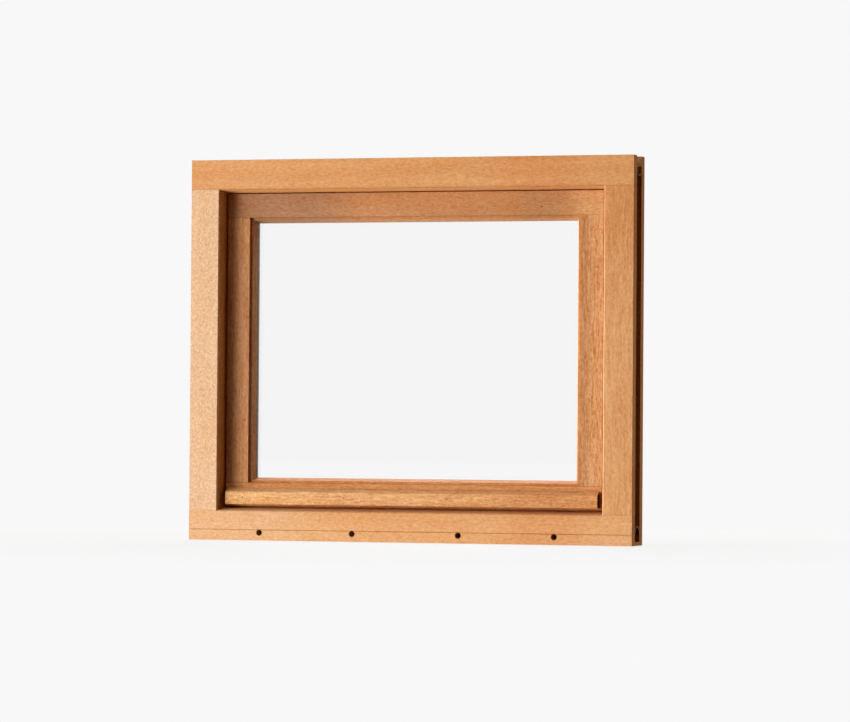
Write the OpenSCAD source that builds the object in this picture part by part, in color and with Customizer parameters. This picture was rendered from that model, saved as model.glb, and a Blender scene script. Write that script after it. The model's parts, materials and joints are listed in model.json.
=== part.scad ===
// Hopper window: a bottom-hung timber sash that tips into the room, in its own frame.
// X runs to the right seen from outside, Y runs into the room and Z runs up.
// The origin is the middle of the sill's underside. Depths in the drawings below are
// measured from the frame's outside face, and insets from the frame's outer edge.

/* [Frame] */
// Overall width of the frame
frame_w = 880; // [760:1:1200]
// Overall height of the frame
frame_h = 730; // [620:1:1000]
// Depth of the frame, outside face to inside face
frame_d = 78; // [76:1:84]
// Width of a frame member on the outside face
member_face = 57; // [55:0.5:60]
// Widening of a frame member from its outside face to the sash
reveal_splay = 5; // [3:0.5:6]
// Depth over which the reveal is splayed
reveal_d = 27; // [24:0.5:28]
// Size of the eased arris between the outside face and the reveal
arris = 1.6; // [0.8:0.1:3]
// Depth of the stop that the sash closes against
stop_d = 42; // [40:0.5:43]
// Inset of the rebate that the sash stands in
rebate_inset = 48; // [46:0.5:49]

/* [Wall slot] */
// Thickness of the lip in front of the slot
slot_lip = 23; // [18:0.5:24]
// Width of the slot, which takes the edge of the wall boards
slot_w = 34; // [28:0.5:36]
// Depth of the slot into the frame
slot_depth = 16; // [10:0.5:18]
// Height at which the slot ends over the sill's underside
slot_foot = 7; // [5:0.5:12]
// Distance from a frame joint to the arched web across the slot
web_rise = 20; // [18:0.5:22]
// Thickness of the arched webs across the slot
web_t = 1.8; // [1.2:0.1:2.5]

/* [Sill] */
// Height of the line between the sill's two laminations
line_z = 20.5; // [20:0.1:22]
// Depth of that line
line_depth = 0.7; // [0.4:0.1:1]
// Diameter of a weep hole in the sill's outside face
weep_d = 9.5; // [8:0.1:10]
// Height of the weep holes over the sill's underside
weep_z = 15; // [13:0.5:15]
// Places of the hand-drilled weep holes, as shares of the frame's width from its middle
weep_shares = [-0.337, -0.1244, 0.1153, 0.329];
// Diameter of the drop bore from the water channel to a weep hole
drop_d = 8; // [6:0.5:8]
// Width of the water channel in the top of the sill
channel_w = 6; // [4:0.5:7]
// Depth of the water channel
channel_depth = 6; // [4:0.5:8]
// Inset of the water channel's ends
channel_inset = 84; // [80:1:100]

/* [Sash] */
// Setback of the sash's outside face
sash_setback = 27; // [25:0.5:28]
// Gap between the reveal and the sash's outside part
sash_gap = 3; // [2.5:0.1:4]
// Gap between the head's reveal and the top of the sash
head_gap = 2; // [1.8:0.1:3]
// Gap between the rebate and the sash's flange
flange_gap = 4; // [3.5:0.1:5]
// Clearance between the frame gasket and the sash's flange
seal_clear = 0.3; // [0.2:0.05:0.5]
// Thickness of the frame gasket in front of the stop
gasket_h = 2.2; // [1.8:0.1:2.6]
// Inset of the glazing moulding's outer arris
sash_face = 110; // [106:0.5:114]
// Depth of the quirk that starts the moulding
quirk_depth = 5; // [3:0.5:6]
// Width of the flat in the quirk
quirk_flat = 4.5; // [3:0.5:6]
// Width of the whole moulding
moulding_w = 10; // [8:0.5:12]

/* [Weather bar] */
// Projection of the weather bar in front of the sash
bar_out = 16; // [10:0.5:18]
// Height of the bar's underside
bar_z = 69; // [68:0.5:72]
// Height of the bar's outside face
bar_face = 24; // [20:0.5:26]
// Rise of the bar's sloping top
bar_rise = 8; // [5:0.5:9]
// Inset of the bar's ends
bar_inset = 69.5; // [67:0.5:72]
// Width and depth of the drip groove
drip = 3; // [2:0.5:4]
// Distance of the drip groove behind the bar's face
drip_back = 3; // [3:0.5:6]

/* [Glazing] */
// Thickness of a glass pane
pane_t = 4; // [3:0.5:5]
// Cavity between the panes
cavity = 8; // [6:0.5:9]
// Thickness of the glazing tape on each side of the unit
tape_t = 1; // [0.8:0.1:1.2]
// Depth of the glazing rebate past the moulding
glass_cover = 12; // [10:0.5:14]
// Gap between the unit's edge and the rebate, which the setting blocks fill
glass_gap = 3; // [2:0.5:4]
// Width of the sealant round the edge of the unit
seal_w = 3; // [2:0.5:3.5]
// Width of the spacer bar
spacer_w = 5.5; // [4:0.5:6]
// Length of a setting block
block_l = 80; // [50:1:100]
// Depth of a glazing bead
bead_depth = 13; // [11:0.5:15]
// Width of the glazing bead's outer edge
bead_nose = 4; // [2:0.5:6]
// Distance that a glazing bead stays back from the moulding's edge
bead_back = 4; // [1:0.5:5]

/* [Hinges] */
// Distance of each hinge's middle from the window's middle
hinge_x = 240; // [150:1:260]
// Length of a hinge
hinge_l = 80; // [60:1:100]
// Thickness of a hinge leaf
leaf_t = 2.5; // [2:0.1:3]
// Height of a hinge leaf
leaf_h = 32; // [28:1:36]
// Diameter of the knuckles
knuckle_d = 11; // [10.5:0.1:12]
// Diameter of the hinge pin
pin_d = 5; // [4:0.1:6]
// Radial clearance of the pin in the knuckles
pin_clear = 0.05; // [0.02:0.01:0.1]
// Gap between two knuckles
knuckle_gap = 0.4; // [0.3:0.1:0.6]
// Number of knuckles on one hinge
knuckles = 5; // [3:2:7]

/* [Stays] */
// Radius of the quadrant stay about the hinge pin
stay_r = 130; // [110:1:150]
// Width of the stay's bar
stay_w = 9; // [7:0.5:10]
// Thickness of the stay's bar
stay_t = 3; // [2.5:0.1:3.5]
// Inset of the middle of the stay's bar
stay_inset = 43; // [42:0.5:43.5]
// Largest opening angle of the sash
open_angle = 38; // [20:1:45]
// Clearance of the bar in its guide
guide_clear = 0.5; // [0.4:0.05:0.7]
// Diameter of the stop on the end of the bar
stop_knob_d = 13; // [12:0.5:15]

/* [Bolt] */
// Width of the bolt
bolt_w = 12; // [10:0.5:14]
// Thickness of the bolt
bolt_t = 8; // [6:0.5:9]
// Travel of the bolt
bolt_travel = 12; // [10:0.5:14]
// Clearance of the bolt in its housing and its keep
bolt_clear = 0.4; // [0.3:0.05:0.6]

/* [Fixings] */
// Diameter of a hardware screw's shank
screw_d = 3.4; // [3:0.1:3.5]
// Diameter of a hardware screw's head
screw_head_d = 7; // [6.5:0.1:7.5]
// Height of a hardware screw's head
screw_head_h = 2; // [1.8:0.1:2]
// Length of a hardware screw
screw_l = 18; // [14:1:22]
// Diameter of a sash dowel
dowel_d = 10; // [8:0.5:12]
// Length of a sash dowel
dowel_l = 70; // [50:1:76]
// Diameter of a frame screw's shank
long_screw_d = 6; // [5:0.5:7]
// Length of a frame screw under its head
long_screw_l = 90; // [80:1:110]
// Diameter of a panel pin
nail_d = 1.6; // [1.4:0.1:2]

/* [Hidden] */
overrun = 1;
fit_gap = 0.02;

reach = member_face + reveal_splay;
sash_edge = reach + sash_gap;
web_r = slot_w / 2 + web_t / 4;
web_z = member_face - web_rise - web_r;
flange_edge = rebate_inset + flange_gap;
flange_d = stop_d + gasket_h + seal_clear;

sight = sash_face + moulding_w;
glaze_inset = sight - glass_cover;
unit_inset = glaze_inset + glass_gap;
unit_t = 2 * pane_t + cavity;
bead_d = frame_d - bead_depth;
unit_d = bead_d - tape_t - unit_t;
glass_d = unit_d - tape_t;
bead_slope_d = bead_d + bead_depth / 3;
bead_reach = sight - bead_back;

axis_d = frame_d + knuckle_d / 2;
axis_z = (rebate_inset + flange_edge) / 2;
knuckle_l = hinge_l / knuckles;
leaf_foot = knuckle_d / 2 + knuckle_gap;
pin_head_d = 7.5;
pin_head_h = 2;
round_fn = 40;
small_fn = 20;

channel_d = (reveal_d + stop_d) / 2;
kerf_w = 3;
kerf_depth = 5;
kerf_inset = (rebate_inset + reach) / 2;
gasket_w = 7;
lip_fit = 0.1;

stay_z = axis_z + stay_r;
foot_t = 3;
foot_h = 44;
foot_w = 26;
guide_gap = 1;
guide_wall = 3.5;
guide_l = 10;
guide_post_w = 10;
guide_plate_w = 28;
guide_plate_h = 44;
guide_start = frame_d + foot_t + guide_gap;
guide_end = guide_start + guide_l;
guide_reach = asin((guide_end - axis_d) / stay_r);
stop_knob_w = 9;
stop_gap = 0.4;
knob_angle = open_angle + guide_reach + (stop_knob_d / 2 + stop_gap) / stay_r * 180 / PI;
stay_start = asin((frame_d + foot_t / 2 - axis_d) / stay_r);
slot_drop = stay_r * (1 - cos(guide_reach)) / 2;

plate_t = 2.5;
plate_margin = 2;
keep_z = frame_h - rebate_inset + plate_margin;
keep_h = 20;
keep_w = 46;
keep_wall = 2.5;
bolt_d = frame_d + plate_t + bolt_clear;
bolt_rest_gap = 4;
bolt_top = keep_z - bolt_rest_gap;
bolt_l = 60;
bolt_nose = 4;
plate_top = frame_h - flange_edge - plate_margin;
bolt_plate_w = 46;
bolt_plate_h = 50;
housing_h = 22;
housing_wall = 2.5;
plate_screw_x = 16;
plate_screw_z = 15;
knob_d = 13;
knob_l = 9;
knob_neck_d = 7;
knob_neck_l = 5;
knob_edge = 1.5;
knob_rise = plate_top - housing_h - bolt_travel - stop_gap - knob_neck_d / 2 - bolt_top + bolt_l;

screw_row = 11;
leaf_screws = [-1, 0, 1];
leaf_screw_step = 28;
foot_screws = [-1, 1];
foot_screw_step = 15;
long_head_d = 12;
long_head_h = 5;
long_screws = [-1, 1];
long_screw_step = 9;
dowel_step = 16;
bar_pin_shares = [-0.452, -0.1755, 0.1012, 0.378];
bar_pin_drop = 10.5;
bar_pin_l = 32;
bead_pin_l = 22;
bead_pin_shares = [-0.3, 0, 0.3];
nail_head_d = 2.6;
nail_head_h = 1;

timber = [0.86, 0.62, 0.40];
sash_timber = [0.76, 0.52, 0.33];
metal = [0.74, 0.74, 0.72];
rubber = [0.12, 0.12, 0.12];
pane_colour = [0.80, 0.90, 0.88, 0.35];

head();
jamb_left();
jamb_right();
sill();
frame_screws();
frame_gasket();
sash_top_rail();
sash_bottom_rail();
sash_stile_left();
sash_stile_right();
sash_dowels();
weather_bar();
weather_bar_pins();
glass_outer();
glass_inner();
spacer_bar();
edge_seal();
glazing_tape_outer();
glazing_tape_inner();
setting_blocks();
bead_top();
bead_bottom();
bead_left();
bead_right();
bead_pins();
hinge_leaf_frame();
hinge_leaf_sash();
hinge_pins();
stay_left();
stay_right();
guide_left();
guide_right();
bolt_housing();
bolt();
bolt_knob();
keep();
hardware_screws_frame();
hardware_screws_sash();

// Puts a drawing measured from the outside face into the shared frame.
module placed() {
    translate([0, -frame_d / 2, 0])
        children();
}

// Turns a piece drawn at the foot of the window to its head.
module at_head() {
    translate([0, 0, frame_h])
        mirror([0, 0, 1])
            children();
}

// A slab in the plane of the window, inset alike from the frame's four edges.
module slab(inset, d0, d1) {
    translate([-frame_w / 2 + inset, d0, inset])
        cube([frame_w - 2 * inset, d1 - d0, frame_h - 2 * inset]);
}

// A rectangular ring between two insets.
module ring(outer, inner, d0, d1) {
    difference() {
        slab(outer, d0, d1);
        slab(inner, d0 - overrun, d1 + overrun);
    }
}

// A section [depth, inset] run along the foot of the window.
module along_foot(section, run) {
    rotate([90, 0, 90])
        linear_extrude(run, center = true)
            polygon(section);
}

// A section [depth, inset] run up the right side of the window.
module along_side(section) {
    translate([frame_w / 2, 0, 0])
        rotate([0, 0, 90])
            linear_extrude(frame_h)
                polygon(section);
}

// A drawing in the plane of the window, as thick as the frame.
module through_depth() {
    translate([0, frame_d, 0])
        rotate([90, 0, 0])
            linear_extrude(frame_d)
                children();
}

// The outline of a full-width member: square ends up to its face, and a mitred lip.
module rail_outline(face, lip) {
    half = frame_w / 2;
    polygon([[-half, 0], [half, 0], [half, face], [half - face, face], [half - lip, lip],
             [lip - half, lip], [face - half, face], [-half, face]]);
}

// The outline of the right-hand member between two full-width ones.
module side_outline(face, lip) {
    half = frame_w / 2;
    polygon([[half, face], [half, frame_h - face], [half - face, frame_h - face],
             [half - lip, frame_h - lip], [half - lip, lip], [half - face, face]]);
}

// An arched web across the full width of the slot, its crown up.
module slot_web() {
    rotate([0, 90, 0])
        difference() {
            cylinder(h = frame_w + 2 * overrun, r = web_r, center = true, $fn = round_fn);
            cylinder(h = frame_w + 4 * overrun, r = web_r - web_t, center = true, $fn = round_fn);
            translate([0, -slot_w, -frame_w])
                cube([slot_w, 2 * slot_w, 2 * frame_w]);
        }
}

// The webs left where the slot turns each corner of the frame.
module slot_webs() {
    translate([0, slot_lip + slot_w / 2, web_z])
        slot_web();
    at_head()
        translate([0, slot_lip + slot_w / 2, web_z])
            slot_web();
}

// The slot for the wall boards, open at both sides and at the head.
module wall_slot() {
    difference() {
        translate([-frame_w / 2 - overrun, slot_lip, slot_foot])
            cube([frame_w + 2 * overrun, slot_w, frame_h - slot_foot + overrun]);
        translate([-frame_w / 2 + slot_depth, slot_lip - overrun, 0])
            cube([frame_w - 2 * slot_depth, slot_w + 2 * overrun, frame_h - slot_depth]);
        slot_webs();
    }
}

// The eased edge round the opening, cut after the members are joined.
module eased_arris() {
    hull() {
        slab(member_face - 2 * arris, -arris - fit_gap, -arris);
        slab(member_face, arris, arris + fit_gap);
    }
}

// What every frame member gives up: the sash's rebate, the gasket's kerf, the slot and the arris.
module frame_cuts() {
    eased_arris();
    slab(rebate_inset, stop_d, frame_d + overrun);
    ring(kerf_inset - kerf_w / 2, kerf_inset + kerf_w / 2, stop_d - kerf_depth, stop_d + overrun);
    wall_slot();
}

function frame_section() = [[0, 0], [frame_d, 0], [frame_d, reach], [reveal_d, reach], [0, member_face]];

module frame_rail() {
    intersection() {
        along_foot(frame_section(), frame_w);
        through_depth()
            rail_outline(member_face, reach);
    }
}

module head() {
    color(timber)
        placed()
            difference() {
                at_head()
                    frame_rail();
                frame_cuts();
                at_head()
                    long_screw_bores(slot_depth, member_face);
            }
}

module jamb() {
    difference() {
        intersection() {
            along_side(frame_section());
            through_depth()
                side_outline(member_face, reach);
        }
        frame_cuts();
    }
}

module jamb_right() {
    color(timber)
        placed()
            jamb();
}

module jamb_left() {
    color(timber)
        placed()
            mirror([1, 0, 0])
                jamb();
}

// One weep hole: a bore from the outside face and a drop bore from the channel.
module weep() {
    translate([0, -overrun, weep_z])
        rotate([-90, 0, 0])
            cylinder(h = channel_d + drop_d / 2 + overrun, d = weep_d, $fn = round_fn);
    translate([0, channel_d, weep_z])
        cylinder(h = reach, d = drop_d, $fn = round_fn);
}

// The fine line along the sill's outside face.
module lamination_line() {
    along_foot([[-line_depth, line_z - 2 * line_depth], [line_depth, line_z],
                [-line_depth, line_z + 2 * line_depth]], frame_w + 2 * overrun);
}

module sill() {
    color(timber)
        placed()
            difference() {
                frame_rail();
                frame_cuts();
                lamination_line();
                for (share = weep_shares)
                    translate([share * frame_w, 0, 0])
                        weep();
                translate([channel_inset - frame_w / 2, channel_d - channel_w / 2, reach - channel_depth])
                    cube([frame_w - 2 * channel_inset, channel_w, channel_depth + overrun]);
                long_screw_bores(0, member_face);
            }
}

// Places of the two screws at each corner, on the foot of the window.
module at_long_screws() {
    for (side = [-1, 1])
        for (row = long_screws)
            translate([side * (frame_w - rebate_inset - slot_depth) / 2,
                       slot_lip + slot_w / 2 + row * long_screw_step, 0])
                children();
}

// The counterbore and the clearance bore of each frame screw.
module long_screw_bores(from, to) {
    at_long_screws() {
        translate([0, 0, from - overrun])
            cylinder(h = long_head_h + 2 * overrun, d = long_head_d + overrun, $fn = small_fn);
        translate([0, 0, from])
            cylinder(h = to - from + overrun, d = long_screw_d + 2 * fit_gap, $fn = small_fn);
    }
}

module long_screw_set(from) {
    at_long_screws()
        translate([0, 0, from + overrun]) {
            cylinder(h = long_head_h, d1 = long_head_d, d2 = long_screw_d, $fn = small_fn);
            cylinder(h = long_screw_l, d = long_screw_d, $fn = small_fn);
        }
}

module frame_screws() {
    color(metal)
        placed() {
            long_screw_set(0);
            at_head()
                long_screw_set(slot_depth);
        }
}

module frame_gasket() {
    color(rubber)
        placed()
            union() {
                ring(kerf_inset - gasket_w / 2, kerf_inset + gasket_w / 2, stop_d, stop_d + gasket_h);
                ring(kerf_inset - kerf_w / 2 + lip_fit, kerf_inset + kerf_w / 2 - lip_fit,
                     stop_d - kerf_depth + lip_fit, stop_d + lip_fit);
            }
}

function sash_section() = [[sash_setback, 0], [frame_d, 0], [frame_d, sight], [glass_d, sight],
                           [sash_setback + quirk_depth, sash_face + quirk_flat],
                           [sash_setback + quirk_depth, sash_face], [sash_setback, sash_face]];

// The sash's outer shape: the part beside the reveal and the flange behind the stop.
module sash_envelope() {
    slab(sash_edge, sash_setback, flange_d + overrun);
    slab(flange_edge, flange_d, frame_d);
}

// One rail; its outside part reaches this much further than the stiles do.
module sash_rail(reach_on) {
    difference() {
        intersection() {
            along_foot(sash_section(), frame_w);
            through_depth()
                rail_outline(sash_face, sight);
            union() {
                sash_envelope();
                translate([0, 0, -reach_on])
                    slab(sash_edge, sash_setback, flange_d + overrun);
            }
        }
        slab(glaze_inset, glass_d, frame_d + overrun);
        dowel_set(dowel_d + 2 * fit_gap, dowel_l + 2 * overrun);
    }
}

module sash_stile() {
    difference() {
        intersection() {
            along_side(sash_section());
            through_depth()
                side_outline(sash_face, sight);
            sash_envelope();
        }
        slab(glaze_inset, glass_d, frame_d + overrun);
        dowel_set(dowel_d + 2 * fit_gap, dowel_l + 2 * overrun);
        at_head()
            dowel_set(dowel_d + 2 * fit_gap, dowel_l + 2 * overrun);
    }
}

// Two dowels in each lower corner of the sash, half in the rail and half in the stile.
module dowel_set(d, l) {
    for (side = [-1, 1])
        for (row = [-1, 1])
            translate([side * (frame_w / 2 - (sash_edge + glaze_inset) / 2 - row * dowel_step / 2),
                       (sash_setback + glass_d) / 2 + dowel_d, sash_face - l / 2])
                cylinder(h = l, d = d, $fn = small_fn);
}

module sash_bottom_rail() {
    color(sash_timber)
        placed()
            sash_rail(0);
}

module sash_top_rail() {
    color(sash_timber)
        placed()
            at_head()
                sash_rail(sash_gap - head_gap);
}

module sash_stile_right() {
    color(sash_timber)
        placed()
            sash_stile();
}

module sash_stile_left() {
    color(sash_timber)
        placed()
            mirror([1, 0, 0])
                sash_stile();
}

module sash_dowels() {
    color(timber)
        placed() {
            dowel_set(dowel_d, dowel_l);
            at_head()
                dowel_set(dowel_d, dowel_l);
        }
}

module weather_bar() {
    face_d = sash_setback - bar_out;
    drip_d = face_d + drip_back;
    color(timber)
        placed()
            along_foot([[face_d, bar_z], [drip_d, bar_z], [drip_d, bar_z + drip],
                        [drip_d + drip, bar_z + drip], [drip_d + drip, bar_z],
                        [sash_setback, bar_z], [sash_setback, bar_z + bar_face + bar_rise],
                        [face_d, bar_z + bar_face]], frame_w - 2 * bar_inset);
}

// A panel pin along Y, its head at the origin.
module nail(l) {
    rotate([-90, 0, 0]) {
        cylinder(h = nail_head_h, d = nail_head_d, $fn = small_fn);
        cylinder(h = l, d = nail_d, $fn = small_fn);
    }
}

module weather_bar_pins() {
    color(metal)
        placed()
            for (share = bar_pin_shares)
                translate([share * (frame_w - 2 * bar_inset), sash_setback - bar_out,
                           bar_z + bar_face - bar_pin_drop])
                    nail(bar_pin_l);
}

module glass_outer() {
    color(pane_colour)
        placed()
            slab(unit_inset, unit_d, unit_d + pane_t);
}

module glass_inner() {
    color(pane_colour)
        placed()
            slab(unit_inset, unit_d + unit_t - pane_t, unit_d + unit_t);
}

module edge_seal() {
    color(rubber)
        placed()
            ring(unit_inset, unit_inset + seal_w, unit_d + pane_t, unit_d + pane_t + cavity);
}

module spacer_bar() {
    color(metal)
        placed()
            ring(unit_inset + seal_w, unit_inset + seal_w + spacer_w, unit_d + pane_t, unit_d + pane_t + cavity);
}

module glazing_tape_outer() {
    color(rubber)
        placed()
            ring(unit_inset, sight, glass_d, unit_d);
}

module glazing_tape_inner() {
    color(rubber)
        placed()
            ring(unit_inset, bead_reach, bead_d - tape_t, bead_d);
}

module setting_blocks() {
    color(rubber)
        placed()
            for (side = [-1, 1])
                translate([side * frame_w / 4 - block_l / 2, unit_d, glaze_inset])
                    cube([block_l, unit_t, glass_gap]);
}

function bead_section() = [[bead_d, glaze_inset], [frame_d, glaze_inset], [frame_d, glaze_inset + bead_nose],
                           [bead_slope_d, bead_reach], [bead_d, bead_reach]];

// The outline of a bead mitred at both ends.
module bead_outline_foot() {
    half = frame_w / 2;
    polygon([[glaze_inset - half, glaze_inset], [half - glaze_inset, glaze_inset],
             [half - bead_reach, bead_reach], [bead_reach - half, bead_reach]]);
}

module bead_outline_side() {
    half = frame_w / 2;
    polygon([[half - glaze_inset, glaze_inset], [half - glaze_inset, frame_h - glaze_inset],
             [half - bead_reach, frame_h - bead_reach], [half - bead_reach, bead_reach]]);
}

module bead_foot() {
    intersection() {
        along_foot(bead_section(), frame_w);
        through_depth()
            bead_outline_foot();
    }
}

module bead_side() {
    intersection() {
        along_side(bead_section());
        through_depth()
            bead_outline_side();
    }
}

module bead_bottom() {
    color(sash_timber)
        placed()
            bead_foot();
}

module bead_top() {
    color(sash_timber)
        placed()
            at_head()
                bead_foot();
}

module bead_right() {
    color(sash_timber)
        placed()
            bead_side();
}

module bead_left() {
    color(sash_timber)
        placed()
            mirror([1, 0, 0])
                bead_side();
}

// Panel pins driven through the beads into the sash, square to the bead's run.
module foot_bead_pins() {
    for (share = bead_pin_shares)
        translate([share * frame_w, (bead_slope_d + bead_d) / 2, bead_reach])
            rotate([-90, 0, 0])
                nail(bead_pin_l);
}

module side_bead_pins() {
    for (share = bead_pin_shares)
        translate([frame_w / 2 - bead_reach, (bead_slope_d + bead_d) / 2, frame_h / 2 + share * frame_h])
            rotate([0, 0, -90])
                nail(bead_pin_l);
}

module bead_pins() {
    color(metal)
        placed() {
            foot_bead_pins();
            at_head()
                foot_bead_pins();
            side_bead_pins();
            mirror([1, 0, 0])
                side_bead_pins();
        }
}

// One hinge's leaf and its own knuckles, hanging down from the axis at the origin.
module hinge_leaf(own) {
    difference() {
        union() {
            translate([-hinge_l / 2, -knuckle_d / 2, -leaf_foot - leaf_h])
                cube([hinge_l, leaf_t, leaf_h]);
            for (index = [own : 2 : knuckles - 1])
                translate([index * knuckle_l - hinge_l / 2 + knuckle_gap / 2, 0, 0]) {
                    rotate([0, 90, 0])
                        cylinder(h = knuckle_l - knuckle_gap, d = knuckle_d, $fn = round_fn);
                    translate([0, -knuckle_d / 2, -leaf_foot - leaf_t])
                        cube([knuckle_l - knuckle_gap, leaf_t, leaf_foot + leaf_t]);
                }
        }
        translate([-hinge_l / 2 - overrun, 0, 0])
            rotate([0, 90, 0])
                cylinder(h = hinge_l + 2 * overrun, d = pin_d + 2 * pin_clear, $fn = round_fn);
        at_leaf_screws()
            countersink();
    }
}

module at_leaf_screws() {
    for (place = leaf_screws)
        translate([place * leaf_screw_step, leaf_t - knuckle_d / 2, -leaf_foot - leaf_h / 2])
            children();
}

module at_hinges() {
    for (side = [-1, 1])
        translate([side * hinge_x, axis_d, axis_z])
            children();
}

module hinge_leaf_frame() {
    color(metal)
        placed()
            at_hinges()
                hinge_leaf(0);
}

module hinge_leaf_sash() {
    color(metal)
        placed()
            at_hinges()
                mirror([0, 0, 1])
                    hinge_leaf(1);
}

module hinge_pins() {
    color(metal)
        placed()
            at_hinges()
                rotate([0, 90, 0]) {
                    cylinder(h = hinge_l + 2 * pin_head_h, d = pin_d, center = true, $fn = round_fn);
                    for (side = [-1, 1])
                        translate([0, 0, side * (hinge_l + pin_head_h) / 2])
                            cylinder(h = pin_head_h, d = pin_head_d, center = true, $fn = round_fn);
                }
}

// The seat of a countersunk screw in a plate, entered from the room.
module countersink() {
    rotate([90, 0, 0]) {
        translate([0, 0, -overrun])
            cylinder(h = overrun, d = screw_head_d, $fn = small_fn);
        cylinder(h = screw_head_h, d1 = screw_head_d, d2 = screw_d, $fn = small_fn);
        cylinder(h = screw_l, d = screw_d, $fn = small_fn);
    }
}

// A countersunk screw that points away from the room, its head at the origin.
module screw() {
    rotate([90, 0, 0]) {
        cylinder(h = screw_head_h, d1 = screw_head_d, d2 = screw_d, $fn = small_fn);
        cylinder(h = screw_l, d = screw_d, $fn = small_fn);
    }
}

// Puts a drawing of the right-hand piece there, or its mirror image on the left.
module on_side(side) {
    mirror([side < 0 ? 1 : 0, 0, 0])
        children();
}

module at_foot_screws() {
    for (place = foot_screws)
        translate([(frame_w + foot_w) / 2 - stay_inset + stay_t, frame_d + foot_t, stay_z + place * foot_screw_step])
            children();
}

module at_guide_screws() {
    for (place = foot_screws)
        translate([(frame_w - guide_post_w - guide_plate_w) / 2 - flange_edge - plate_margin, frame_d + plate_t,
                   stay_z + place * foot_screw_step])
            children();
}

module at_bolt_screws() {
    for (side = [-1, 1])
        for (row = [-1, 1])
            translate([side * plate_screw_x, frame_d + plate_t, plate_top - bolt_plate_h / 2 + row * plate_screw_z])
                children();
}

module at_keep_screws() {
    for (side = [-1, 1])
        translate([side * plate_screw_x, frame_d + plate_t, keep_z + keep_h / 2])
            children();
}

// The right-hand quadrant stay: a foot on the jamb, a bar bent round the hinge pin and a stop.
module stay() {
    difference() {
        union() {
            translate([frame_w / 2 - stay_inset - stay_t / 2, frame_d, stay_z - foot_h / 2])
                cube([foot_w, foot_t, foot_h]);
            translate([frame_w / 2 - stay_inset, axis_d, axis_z])
                rotate([0, -90, 0]) {
                    rotate([0, 0, stay_start])
                        rotate_extrude(angle = knob_angle - stay_start, $fn = 4 * round_fn)
                            translate([stay_r - stay_w / 2, -stay_t / 2])
                                square([stay_w, stay_t]);
                    rotate([0, 0, knob_angle])
                        translate([stay_r, 0, 0])
                            cylinder(h = stop_knob_w, d = stop_knob_d, center = true, $fn = round_fn);
                }
        }
        at_foot_screws()
            countersink();
    }
}

module stay_right() {
    color(metal)
        placed()
            stay();
}

module stay_left() {
    color(metal)
        placed()
            on_side(-1)
                stay();
}

// The right-hand guide: a plate on the stile and an eye that reaches over the jamb to the bar.
module guide() {
    bar_x = frame_w / 2 - stay_inset;
    plate_x = frame_w / 2 - flange_edge - plate_margin;
    eye_h = stay_w + 2 * (guide_clear + guide_wall);
    eye_x = bar_x + stay_t / 2 + guide_clear + guide_wall;
    slot_x = stay_t + 2 * guide_clear;
    slot_h = stay_w + 2 * guide_clear;
    difference() {
        union() {
            translate([plate_x - guide_plate_w, frame_d, stay_z - guide_plate_h / 2])
                cube([guide_plate_w, plate_t, guide_plate_h]);
            translate([plate_x - guide_post_w, frame_d, stay_z - slot_drop - eye_h / 2])
                cube([guide_post_w, guide_end - frame_d, eye_h]);
            translate([plate_x - guide_post_w, guide_start, stay_z - slot_drop - eye_h / 2])
                cube([eye_x - plate_x + guide_post_w, guide_l, eye_h]);
        }
        translate([bar_x - slot_x / 2, guide_start - overrun, stay_z - slot_drop - slot_h / 2])
            cube([slot_x, guide_l + 2 * overrun, slot_h]);
        at_guide_screws()
            countersink();
    }
}

module guide_right() {
    color(metal)
        placed()
            guide();
}

module guide_left() {
    color(metal)
        placed()
            on_side(-1)
                guide();
}

module bolt_housing() {
    outer_w = bolt_w + 2 * (bolt_clear + housing_wall);
    inner_w = bolt_w + 2 * bolt_clear;
    inner_t = bolt_t + 2 * bolt_clear;
    color(metal)
        placed()
            difference() {
                union() {
                    translate([-bolt_plate_w / 2, frame_d, plate_top - bolt_plate_h])
                        cube([bolt_plate_w, plate_t, bolt_plate_h]);
                    translate([-outer_w / 2, frame_d, plate_top - housing_h])
                        cube([outer_w, plate_t + inner_t + housing_wall, housing_h]);
                }
                translate([-inner_w / 2, frame_d + plate_t, plate_top - housing_h - overrun])
                    cube([inner_w, inner_t, housing_h + 2 * overrun]);
                at_bolt_screws()
                    countersink();
            }
}

module bolt() {
    color(metal)
        placed()
            translate([0, bolt_d, bolt_top - bolt_l])
                rotate([90, 0, 90])
                    linear_extrude(bolt_w, center = true)
                        polygon([[0, 0], [bolt_t, 0], [bolt_t, bolt_l], [bolt_t / 2, bolt_l],
                                 [0, bolt_l - bolt_nose]]);
}

module bolt_knob() {
    color(metal)
        placed()
            translate([0, bolt_d + bolt_t, bolt_top - bolt_l + knob_rise])
                rotate([-90, 0, 0])
                    rotate_extrude($fn = round_fn)
                        polygon([[0, 0], [knob_neck_d / 2, 0], [knob_neck_d / 2, knob_neck_l],
                                 [knob_d / 2 - knob_edge, knob_neck_l], [knob_d / 2, knob_neck_l + knob_edge],
                                 [knob_d / 2, knob_neck_l + knob_l - knob_edge],
                                 [knob_d / 2 - knob_edge, knob_neck_l + knob_l], [0, knob_neck_l + knob_l]]);
}

module keep() {
    outer_w = bolt_w + 2 * (bolt_clear + keep_wall);
    inner_w = bolt_w + 2 * bolt_clear;
    inner_t = bolt_t + 2 * bolt_clear;
    color(metal)
        placed()
            difference() {
                union() {
                    translate([-keep_w / 2, frame_d, keep_z])
                        cube([keep_w, plate_t, keep_h]);
                    translate([-outer_w / 2, frame_d, keep_z])
                        cube([outer_w, plate_t + inner_t + keep_wall, keep_h]);
                }
                translate([-inner_w / 2, frame_d + plate_t, keep_z - overrun])
                    cube([inner_w, inner_t, keep_h + 2 * overrun]);
                at_keep_screws()
                    countersink();
            }
}

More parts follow.
